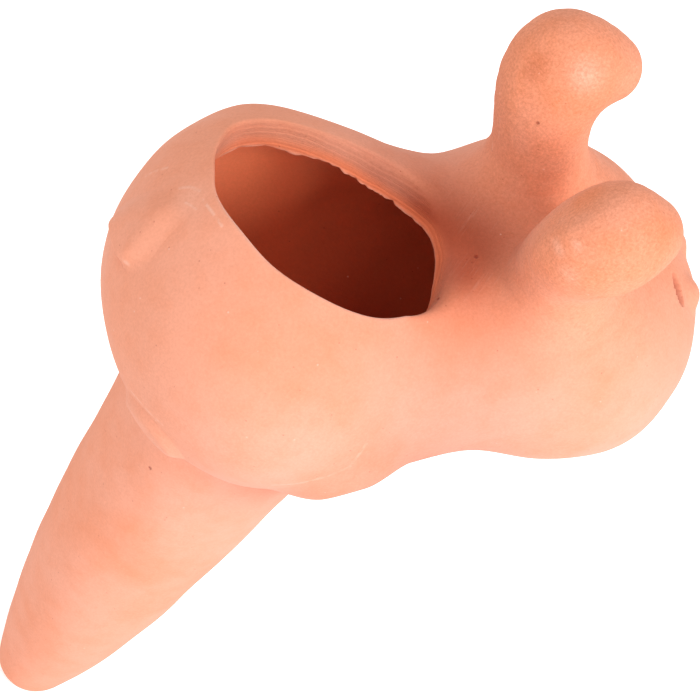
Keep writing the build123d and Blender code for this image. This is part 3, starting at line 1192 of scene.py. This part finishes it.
def makeClayGroup():
    inputs = [(label, "NodeSocketColor", (*colour, 1)) for label, colour in clayColours.items()]
    inputs += [("Warmth", "NodeSocketFloat", 0.0), ("Sandiness", "NodeSocketFloat", 1.0)]
    outputs = [("Color", "NodeSocketColor"), ("Roughness", "NodeSocketFloat"), ("Height", "NodeSocketFloat")]
    tree, result = newGroup("firedClay", inputs, outputs)
    given = tree.nodes.new("NodeGroupInput").outputs
    place = objectPlace(tree)
    things = {label: attribute(tree, label) for label in clayMarks if label not in tooling["ownMarks"]}
    for group in surfaceGroups:
        made = addNode(tree, "ShaderNodeGroup", {}, node_tree=group).outputs
        things.update({socket.name.lower(): socket for socket in made})
    for label, (scale, detail, rough, start, end) in mottling.items():
        things[label] = ramp(tree, noise(tree, place, scale, detail, rough), start, end)
    sandiness = maths(tree, "ADD", things["sandy"], given["Sandiness"])
    things["speckle"] = maths(tree, "MULTIPLY", maths(tree, "SUBTRACT", things["grain"], 0.5), sandiness)
    # pale scuffs and the painted highlights on the ears, broken up by the grain
    uneven = maths(tree, "ADD", things["grain"], clayTouch["paleSpotLeast"])
    things["unevenScuffAndHighlight"] = maths(tree, "MULTIPLY", things["scuff"], uneven)

    warm = maths(tree, "MAXIMUM", weighed(tree, given["Warmth"], clayShares["warm"], things), 0.0)
    cut = maths(tree, "MULTIPLY", things["cut"], clayTouch["cutDeep"])
    # pale rubbing, scratches, specks and smears, with the painted highlights on edges, ears and the ear's
    # crease
    rubbed = weighed(tree, 0.0, clayShares["rubbed"], things)
    # dark sand specks, and painted shade in the pits and knife lines
    dark = weighed(tree, 0.0, clayShares["dark"], things)
    # painted shade: the neck hollow and the cut face are darkened, the hollow's inside is deepened and its
    # far end darkened most; painted highlights come in with the pale layer
    layers = [(maths(tree, "MINIMUM", warm, 1.0), "Orange"), (things["hollow"], "PaintedShade"), (cut, "PaintedShade"),
              (things["inside"], "ShadedInside"), (things["soot"], "DarkSpeckAndShade"),
              (maths(tree, "MINIMUM", rubbed, 1.0), "Rubbed"), (maths(tree, "MINIMUM", dark, 1.0), "DarkSpeckAndShade")]
    # painted light: pinker where the surface faces the lamps
    colour = mixed(tree, things["blush"], given["Salmon"], given["Pink"])
    for share, label in layers:
        colour = mixed(tree, share, colour, given[label])
    shade = maths(tree, "MULTIPLY_ADD", things["speckle"], clayTouch["grainShade"], 1.0)
    shade = addNode(tree, "ShaderNodeCombineColor", {0: shade, 1: shade, 2: shade}).outputs[0]
    roughness = maths(tree, "MULTIPLY_ADD", things["grain"], clayTouch["grainRough"], clayTouch["leastRough"])
    height = weighed(tree, maths(tree, "MULTIPLY", things["grain"], sandiness), clayShares["height"], things)
    tree.links.new(mixed(tree, 1.0, colour, shade, "MULTIPLY"), result["Color"])
    tree.links.new(roughness, result["Roughness"])
    tree.links.new(height, result["Height"])
    return tree


clayGroup = makeClayGroup()

# The fired surface is dull, with a faint dusty sheen
clayFinish = {
    "Specular IOR Level": 0.15,
    "Sheen Weight": 0.09,
    "Sheen Roughness": 0.45,
    "Sheen Tint": (1.0, 0.86, 0.78, 1),
}
bumpDistance = 0.00006
# Warmth and sandiness of each piece's clay
clays = {
    "bodyClay": (0.0, 0.62),
    "headClay": (0.0, 0.62),
    "earClay": (0.0, 0.62),
    "spikeClay": (0.06, 0.55),
    "pressedClay": (0.0, 0.62),
}


def makeMaterial(name, warmth, sandiness):
    material = bpy.data.materials.new(name)
    material.use_nodes = True
    tree = material.node_tree
    shader = tree.nodes["Principled BSDF"]
    inputs = {"Warmth": warmth, "Sandiness": sandiness}
    look = addNode(tree, "ShaderNodeGroup", inputs, node_tree=clayGroup).outputs
    bump = {"Height": look["Height"], "Strength": 1.0, "Distance": bumpDistance}
    tree.links.new(look["Color"], shader.inputs["Base Color"])
    tree.links.new(look["Roughness"], shader.inputs["Roughness"])
    tree.links.new(addNode(tree, "ShaderNodeBump", bump).outputs["Normal"], shader.inputs["Normal"])
    for socket, value in clayFinish.items():
        shader.inputs[socket].default_value = value
    return material


materials = {name: makeMaterial(name, *look) for name, look in clays.items()}
print("materials made:", ", ".join(materials))

makePiece("bodyShell", makeBody(), "body_shell", materials["bodyClay"])
makePiece("headShell", makeHead(), "head_shell", materials["headClay"])


# Ears: a flare from the border to the stalk, the stalk, and rays over the knob and its hook
earMesh = {
    "flareRows": 44,
    "stalkRows": 16,
    "knobRows": 64,
    "columns": 180,
    # steps of the spine from one of its points to the next
    "spanSteps": 30,
    # how far the border goes past the middle plane, how softly it turns there, and how fast the skin sinks
    "pastMiddle": 1.2,
    "turnBlend": 1.0,
    "sinkShare": 0.3,
    # the way from the knob's centre to the last point, between forward and up
    "pole": (0.6, 0.0, 0.8),
    # how far past the border and how deep the tucked rows lie, then rows back under the ear
    "tuck": [(0.4, 0.04), (1.0, 0.16), (1.7, 0.4), (-2.0, 0.9), (-6.0, 1.3)],
    # least radius of a tucked row, and how deep the point lies that closes them
    "leastTuck": 0.5,
    "closeDepth": 1.2,
}


def bentLine(start, bend, end, share):
    # quadratic curve from start to end, drawn towards the bend
    return (1 - share) ** 2 * start + 2 * share * (1 - share) * bend + share**2 * end


def makeEar(side):
    # rings square to the spine, each point moved out from the spine or the deep place to the skin
    sheet = newSheet()
    steps = earMesh["spanSteps"]
    low, waist, neck, top = steps // 2, steps, 3 * steps // 2, 2 * steps
    fine = throughPoints(ears["spine"], 3 * steps + 1) * [1, side, 1, 1]
    spine = fine[:top + 1, :3]
    radii = fine[:top + 1, 3]
    tangents = unit(np.gradient(spine, axis=0))
    turns = np.linspace(0, 2 * np.pi, earMesh["columns"], endpoint=False)
    first = unit(sideways - (tangents @ sideways)[:, None] * tangents)
    second = np.cross(tangents, first)
    ways = first[:, None] * np.cos(turns)[None, :, None] + second[:, None] * np.sin(turns)[None, :, None]

    def sunk(p):
        # how deep the skin lies where it runs past the middle plane, under the other ear's
        return earMesh["sinkShare"] * np.maximum(-side * p[..., 1], 0)

    def skin(p):
        return claySkin(p, wholeEars=True) + sunk(p)

    # the border is round, but goes only a little past the middle plane
    deep, foot, square = earPlans[side]
    flat = unit(ways[low] - (ways[low] @ square)[:, None] * square)
    toMiddle = (side * foot[1] + earMesh["pastMiddle"]) / np.maximum(-side * flat[:, 1], 1e-3)
    border = smoothMin(toMiddle, np.full(len(flat), earBorder["radius"]), earMesh["turnBlend"])
    edge = castFirst(deep, foot + flat * border[:, None], skin)

    # flare: a bent line from border to stalk each way round, moved onto the skin
    stalk = spine[waist] + ways[waist] * radii[waist]
    crease = foot + ways[low] * radii[waist]
    share = np.linspace(0, 1, earMesh["flareRows"])[:, None, None]
    flare = castFirst(deep + (spine[waist] - deep) * share, bentLine(edge, crease, stalk, share), skin)

    # stalk up to the knob's ball, then rays from the ball's centre over the hook to the last point
    places = np.linspace(waist, neck, earMesh["stalkRows"]).astype(int)[1:]
    middle = spine[places][:, None]
    tube = castFirst(middle, middle + ways[places] * radii[places][:, None, None], skin, high=1.4)
    knob = spine[top]
    start = unit(tube[-1] - knob)
    pole = np.array(earMesh["pole"])
    swing = np.arccos(start @ pole)[:, None]
    share = np.linspace(0, 1, earMesh["knobRows"])[1:-1, None, None]
    fan = (np.sin((1 - share) * swing) * start + np.sin(share * swing) * pole) / np.sin(swing)
    knobRows = castFirst(knob, knob + fan * radii[top], skin)
    numbers = addPoints(sheet, np.concatenate([flare, tube, knobRows]))
    addQuads(sheet, numbers)
    addFan(sheet, numbers[-1], castFirst(knob, (knob + pole * radii[top])[None], skin))

    # the border tucks under the hull's skin and closes along it
    rows = []
    for further, depth in earMesh["tuck"]:
        spread = foot + flat * np.maximum(border + further, earMesh["leastTuck"])[:, None]
        place = castFirst(deep, spread, claySkin)
        rows.append(place - gradientOf(hullOnly, place) * (depth + sunk(place))[:, None])
    under = addPoints(sheet, np.stack(rows))
    addQuads(sheet, np.concatenate([numbers[:1], under]))
    addFan(sheet, under[-1], foot - square * earMesh["closeDepth"])
    return sheet


for name, side in (("Left", 1), ("Right", -1)):
    makePiece("ear" + name, makeEar(side), "ear_" + name.lower(), materials["earClay"])


# Spike: a flare from the belly to the wall, the wall down to its tip, and the bore
spikeMesh = {
    "flareRows": 22,
    "coneRows": 90,
    "ogiveRows": 60,
    "tipRows": 20,
    "underRows": 8,
    "boreRows": 60,
    "columns": 260,
    # rounds in which the crease's level and the wall's radius there settle
    "creaseRounds": 6,
    # how far down the wall the flare reaches, and the rise over the belly at its border
    "spread": 2.6,
    "edgeRise": 0.14,
    # how far from the crease that border is looked for, in how many places, and over how many columns to
    # each side it is evened out
    "borderSpan": (0.5, 7.0, 120),
    "evened": 3,
    # how far past the border and how deep the tucked rows lie, and how far the rows behind lie in the belly
    "tuck": [(0.3, 0.03), (0.8, 0.12), (1.4, 0.3)],
    "lift": 0.4,
    "leastBore": 0.3,
}


def spikeRadiusAt(level, inset=0.0):
    # the wall's radius at a level, from the cone, the ogive or the tip ball
    drop = spike["topHeight"] - level
    cone = spike["topRadius"] - drop * np.tan(spike["taper"]) - inset / np.cos(spike["taper"])
    ogive = np.sqrt(np.maximum((ogiveRadius - inset) ** 2 - (level - ogiveCentre[1]) ** 2, 0))
    tip = np.sqrt(np.maximum((spike["tipRadius"] - inset) ** 2 - (level - tipCentre[1]) ** 2, 0))
    shoulder = spikeShoulder[1] + inset * np.sin(spike["taper"])
    tipLevel = tipCentre[1] + (spike["tipRadius"] - inset) * np.sin(tipStart)
    return np.where(level > shoulder, cone, np.where(level > tipLevel, ogiveCentre[0] + ogive, tip))


def spikeProfile():
    # radius and level of the ogive's and the tip ball's rows, from the shoulder down
    turn = np.linspace(-spike["taper"], tipStart, spikeMesh["ogiveRows"])[1:, None]
    ogive = ogiveCentre + ogiveRadius * np.concatenate([np.cos(turn), np.sin(turn)], -1)
    turn = np.linspace(tipStart, -np.pi / 2, spikeMesh["tipRows"])[1:-1, None]
    tip = tipCentre + spike["tipRadius"] * np.concatenate([np.cos(turn), np.sin(turn)], -1)
    return np.concatenate([ogive, tip])


def makeSpike():
    # rings round the upright axis, each point moved out to the skin, and the bore inside them
    sheet = newSheet()
    turns = np.linspace(0, 2 * np.pi, spikeMesh["columns"], endpoint=False)
    around = np.stack([np.cos(turns), np.sin(turns), np.zeros_like(turns)], -1)
    upright = np.array([0, 0, 1])

    def ring(radius, level):
        return around * radius[..., None] + level[..., None] * upright

    def bellyAt(radius):
        return castDown(around * radius[..., None], hullOnly)

    def skin(p):
        return claySkin(p, wholeSpike=True)

    radius = np.full(len(turns), spike["topRadius"])
    for _ in range(spikeMesh["creaseRounds"]):
        crease = bellyAt(radius)
        radius = spikeRadiusAt(crease[:, 2])

    # the border lies where the blend's rise over the belly has fallen away
    spans = np.linspace(*spikeMesh["borderSpan"])[:, None]
    belly = bellyAt(radius + spans)
    low = spikeRise(belly, hullField(toHull(belly))) < spikeMesh["edgeRise"]
    border = spans[np.where(low.any(0), low.argmax(0), len(spans) - 1), 0]
    evened = spikeMesh["evened"]
    window = np.ones(2 * evened + 1) / (2 * evened + 1)
    border = np.convolve(np.concatenate([border[-evened:], border, border[:evened]]), window, "valid")

    # flare from the border to the wall, then the wall down to its tip
    edge = bellyAt(radius + border)
    wallLevel = crease[:, 2] - spikeMesh["spread"]
    share = np.linspace(0, 1, spikeMesh["flareRows"])[:, None, None]
    target = bentLine(edge, crease, ring(spikeRadiusAt(wallLevel), wallLevel), share)
    outward = unit((1 - share) * gradientOf(hullOnly, edge) + share * around)
    flare = castNear(target, outward, skin, 1.6, 1.6)
    levels = np.linspace(0, 1, spikeMesh["coneRows"])[1:, None]
    coneLevels = wallLevel + (spike["shoulder"] - wallLevel) * levels
    profile = spikeProfile()
    lower = ring(profile[:, :1], profile[:, 1:])
    walls = np.concatenate([ring(spikeRadiusAt(coneLevels), coneLevels), lower])
    axis = walls * upright
    axis[..., 2] = np.maximum(axis[..., 2], tipCentre[1])
    walls = castOut(axis, walls, skin, low=0.5, high=1.5)
    numbers = addPoints(sheet, np.concatenate([flare, walls]))
    addQuads(sheet, numbers)
    bottom = castOut(tipCentre[1] * upright, np.array([[0, 0, -spike["length"]]]), skin)
    addFan(sheet, numbers[-1], bottom)

    # under the belly from the border in to the bore, then down the bore to its end
    rows = []
    for further, depth in spikeMesh["tuck"]:
        place = bellyAt(radius + border + further)
        place = castNear(place, gradientOf(hullOnly, place), claySkin, 1.0, 1.0)
        rows.append(place - gradientOf(hullOnly, place) * depth)
    boreTop = spikeRadiusAt(crease[:, 2], spike["wall"])
    for share in np.linspace(0, 1, spikeMesh["underRows"]):
        place = bellyAt((radius + border) * (1 - share) + boreTop * share)
        rows.append(place + spikeMesh["lift"] * upright)
    topLevel = rows[-1][:, 2]
    bottomLevel = tipCentre[1] - spike["tipRadius"] + spike["wall"]
    levels = np.linspace(0, 1, spikeMesh["boreRows"])[1:-1, None]
    boreLevels = topLevel + (bottomLevel - topLevel) * levels
    boreRadii = np.maximum(spikeRadiusAt(boreLevels, spike["wall"]), spikeMesh["leastBore"])
    bore = ring(boreRadii, boreLevels)
    bore = bore + around * wallLumps(bore, *spike["boreLumps"])[..., None]
    under = addPoints(sheet, np.concatenate([np.stack(rows), bore]))
    addQuads(sheet, np.concatenate([numbers[:1], under]))
    addFan(sheet, under[-1], [0, 0, bottomLevel])
    return sheet


makePiece("spikeShell", makeSpike(), "spike_shell", materials["spikeClay"])


# Pressed-on pieces: low pads of clay whose height over the skin fades to nothing at their outline
def skinPlace(reach, radius, side, turn):
    # a place on the torso's or head's ball, with its way out and its two ways across, in the part's frame
    width = radius * hull["widthShare"]
    reachRadius = radius * np.sqrt(1 - (side / width) ** 2)
    place = np.array([reachRadius * np.cos(turn), side, reachRadius * np.sin(turn)])
    out = unit(place / np.array([radius, width, radius]) ** 2)
    across = unit(sideways - out * out[1])
    ways = [turnFromHull(way) for way in (out, across, np.cross(out, across))]
    return fromHull(place + [reach, 0, 0]), *ways


padMesh = {
    "rows": 40,
    "columns": 140,
    "sunk": 0.45,
    # how far into and out of the hull the skin is looked for
    "search": (7.0, 4.0),
    # how far the whole pad is let in, and how much more its edge is, from which share of the way out
    "letIn": 0.02,
    "edgeDrop": 0.12,
    "edgeShares": (0.92, 1.0),
}


def makePad(spot, outline, heightAt):
    # rings of points out to the outline, laid on the skin and raised by the height, closed below the skin
    sheet = newSheet()
    place, out, across, along = spot
    turns = np.linspace(0, 2 * np.pi, padMesh["columns"], endpoint=False)
    share = np.linspace(0, 1, padMesh["rows"])[:, None]
    radius = share * outline(turns)
    a = radius * np.cos(turns)
    b = radius * np.sin(turns)
    flat = place + a[..., None] * across + b[..., None] * along
    skin = castNear(flat, np.broadcast_to(out, flat.shape), claySkin, *padMesh["search"])
    ways = gradientOf(hullOnly, skin)
    edgeDrop = padMesh["edgeDrop"] * easeStep(share, *padMesh["edgeShares"])
    height = heightAt(a, b) - padMesh["letIn"] - edgeDrop
    top = skin + ways * height[..., None]
    below = skin - ways * padMesh["sunk"]
    upper = addPoints(sheet, top[1:])
    lower = addPoints(sheet, below[1:][::-1])
    addQuads(sheet, np.concatenate([upper, lower]))
    addFan(sheet, upper[0], top[0, 0])
    addFan(sheet, lower[-1], below[0, 0])
    return sheet


def domedPad(shape):
    # an egg outline, and a height that falls from its top by a smooth step over the soft edge
    def outline(turns):
        return 1 / np.hypot(np.cos(turns) / shape["halfAcross"], np.sin(turns) / shape["halfAlong"])

    def heightAt(a, b):
        inside = 1 - np.hypot(a / shape["halfAcross"], b / shape["halfAlong"])
        return shape["height"] * easeStep(inside, 0, shape["softShare"])

    return outline, heightAt


pads = {
    "frontFoot": {
        "node": "front_foot", "ball": "torso", "side": 26.0, "turn": -52.0, "reach": 2.0,
        "halfAcross": 9.5, "halfAlong": 12.0, "height": 2.0, "softShare": 0.75,
    },
    "hindFoot": {
        "node": "hind_foot", "ball": "torso", "side": 16.0, "turn": 213.0, "reach": 0.0,
        "halfAcross": 7.6, "halfAlong": 6.0, "height": 1.1, "softShare": 0.4,
    },
    "eye": {
        "node": "eye", "ball": "head", "side": 4.9, "turn": 36.0, "reach": 0.0,
        "halfAcross": 3.9, "halfAlong": 3.7, "height": 1.25, "softShare": 0.95,
    },
}
for label, shape in pads.items():
    ballReach = shape["reach"] + (hull["headReach"] if shape["ball"] == "head" else 0)
    ballRadius = hull[shape["ball"] + "Radius"]
    for name, way in (("Left", 1), ("Right", -1)):
        spot = skinPlace(ballReach, ballRadius, way * shape["side"], np.radians(shape["turn"]))
        node = shape["node"] + "_" + name.lower()
        makePiece(label + name, makePad(spot, *domedPad(shape)), node, materials["pressedClay"])


# The tail: a thumbed flap with five sides, each with its own soft edge, and a shallow hollow in its middle
tail = {
    "side": 4.0,
    "turn": 154.8,
    # each corner's place to the right and up, then how far in the edge that starts there reaches its height
    "corners": [(-8.9, -7.4, 1.4), (6.3, -3.6, 3.4), (8.4, 0.6, 5.2), (3.0, 11.0, 6.0), (-3.4, 8.8, 5.0)],
    "height": 1.55,
    # right, up, spread and depth
    "hollow": (-1.5, 3.5, 4.6, 0.6),
}


def tailSides():
    # inward way and place of each side
    corners = np.array(tail["corners"])[:, :2]
    along = unit(np.roll(corners, -1, axis=0) - corners)
    inward = np.stack([-along[:, 1], along[:, 0]], -1)
    return inward, (corners * inward).sum(-1)


def tailOutline(turns):
    # where a line from the middle first meets a side
    inward, place = tailSides()
    toward = -(np.stack([np.cos(turns), np.sin(turns)], -1) @ inward.T)
    return (-place / np.where(toward > 1e-3, toward, 1e-3)).min(-1)


def tailHeight(a, b):
    # product of a smooth step in from each side, less the hollow
    inward, place = tailSides()
    inside = np.stack([a, b], -1) @ inward.T - place
    share = easeStep(inside, 0, np.array(tail["corners"])[:, 2]).prod(-1)
    x, y, spread, depth = tail["hollow"]
    return share * (tail["height"] - depth * np.exp(-((a - x) ** 2 + (b - y) ** 2) / spread**2))


place, out, across, along = skinPlace(0, hull["torsoRadius"], tail["side"], np.radians(tail["turn"]))
tailSheet = makePad((place, out, -across, -along), tailOutline, tailHeight)
makePiece("tail", tailSheet, "tail", materials["pressedClay"])


def addObject(name, data):
    made = bpy.data.objects.new(name, data)
    bpy.context.scene.collection.objects.link(made)
    return made


def placement(right, above, back, place):
    # the matrix that turns an object's own axes to the three ways and puts it at the place, in metres
    turned = np.eye(4)
    turned[:3] = np.stack([right, above, back, place], -1)
    return Matrix(turned.tolist())


# Camera: its place in millimetres, the ways it looks, and its focal length in pixels of the photo's frame
view = {
    "place": (-222.98, -285.16, 410.83),
    "forward": (0.4353, 0.5255, -0.7310),
    "right": (0.8942, -0.1578, 0.4190),
    "focal": 3551.15,
    "frameSize": 700,
    "sensorWidth": 36,
    "clip": (0.01, 20),
}
camera = bpy.data.cameras.new("camera")
cameraObject = addObject("camera", camera)
forward = unit(np.array(view["forward"]))
right = np.array(view["right"])
right = unit(right - (right @ forward) * forward)
above = np.cross(right, forward)
cameraObject.matrix_world = placement(right, above, -forward, np.array(view["place"]) * mm)
camera.sensor_width = view["sensorWidth"]
camera.lens = view["focal"] / view["frameSize"] * view["sensorWidth"]
camera.clip_start, camera.clip_end = view["clip"]
bpy.context.scene.camera = cameraObject

# Studio: a pale floor, white where the camera looks past the piece, and a softer white for lighting it
studio = {
    "floorHalf": 3.0,
    "floorColour": (0.92, 0.92, 0.92, 1),
    "floorRoughness": 0.95,
    "floorGlow": 0.45,
    "fill": 0.75,
    # name, direction, size and power of each lamp
    "lamps": [("key", (0.72, -0.69, 0.02), 0.5, 1.2), ("low", (-0.6, -0.8, 0.05), 0.8, 2.2),
              ("side", (0.29, -0.75, 0.60), 0.3, 4.8), ("back", (-0.55, 0.45, 0.70), 0.5, 1.0)],
    "lampDistance": 0.9,
    "aim": (0.01, 0, 0.01),
}
white = (1, 1, 1, 1)


def makeFloor():
    half = studio["floorHalf"]
    level = -spike["length"] * mm
    mesh = bpy.data.meshes.new("floor")
    corners = [(-half, -half, level), (half, -half, level), (half, half, level), (-half, half, level)]
    mesh.from_pydata(corners, [], [(0, 1, 2, 3)])
    material = bpy.data.materials.new("floor")
    material.use_nodes = True
    tree = material.node_tree
    shader = tree.nodes["Principled BSDF"]
    shader.inputs["Base Color"].default_value = studio["floorColour"]
    shader.inputs["Roughness"].default_value = studio["floorRoughness"]
    shader.inputs["Emission Color"].default_value = white
    seen = tree.nodes.new("ShaderNodeLightPath").outputs["Is Camera Ray"]
    tree.links.new(maths(tree, "MULTIPLY", seen, studio["floorGlow"]), shader.inputs["Emission Strength"])
    mesh.materials.append(material)
    return addObject("floor", mesh)


def makeWorld():
    # full strength for camera, glossy and transmission rays, the fill for the rest
    world = bpy.data.worlds.new("studio")
    bpy.context.scene.world = world
    world.use_nodes = True
    tree = world.node_tree
    path = tree.nodes.new("ShaderNodeLightPath").outputs
    direct = maths(tree, "MAXIMUM", path["Is Camera Ray"], path["Is Glossy Ray"])
    direct = maths(tree, "MAXIMUM", direct, path["Is Transmission Ray"])
    strength = maths(tree, "MULTIPLY_ADD", direct, 1.0 - studio["fill"], studio["fill"])
    backdrop = tree.nodes["Background"].inputs
    backdrop["Color"].default_value = white
    tree.links.new(strength, backdrop["Strength"])


def softLamp(name, direction, size, power):
    lamp = bpy.data.lights.new(name, "AREA")
    lamp.shape = "DISK"
    lamp.size = size
    lamp.energy = power
    way = unit(np.array(direction, float))
    side = unit(np.cross([0.0, 0.1, 1.0], way))
    place = way * studio["lampDistance"] + studio["aim"]
    addObject(name, lamp).matrix_world = placement(side, np.cross(way, side), way, place)


makeFloor()
makeWorld()
for lamp in studio["lamps"]:
    softLamp(*lamp)
print("camera, floor and", len(studio["lamps"]), "lamps in place")

bpy.context.scene.view_settings.view_transform = "Standard"
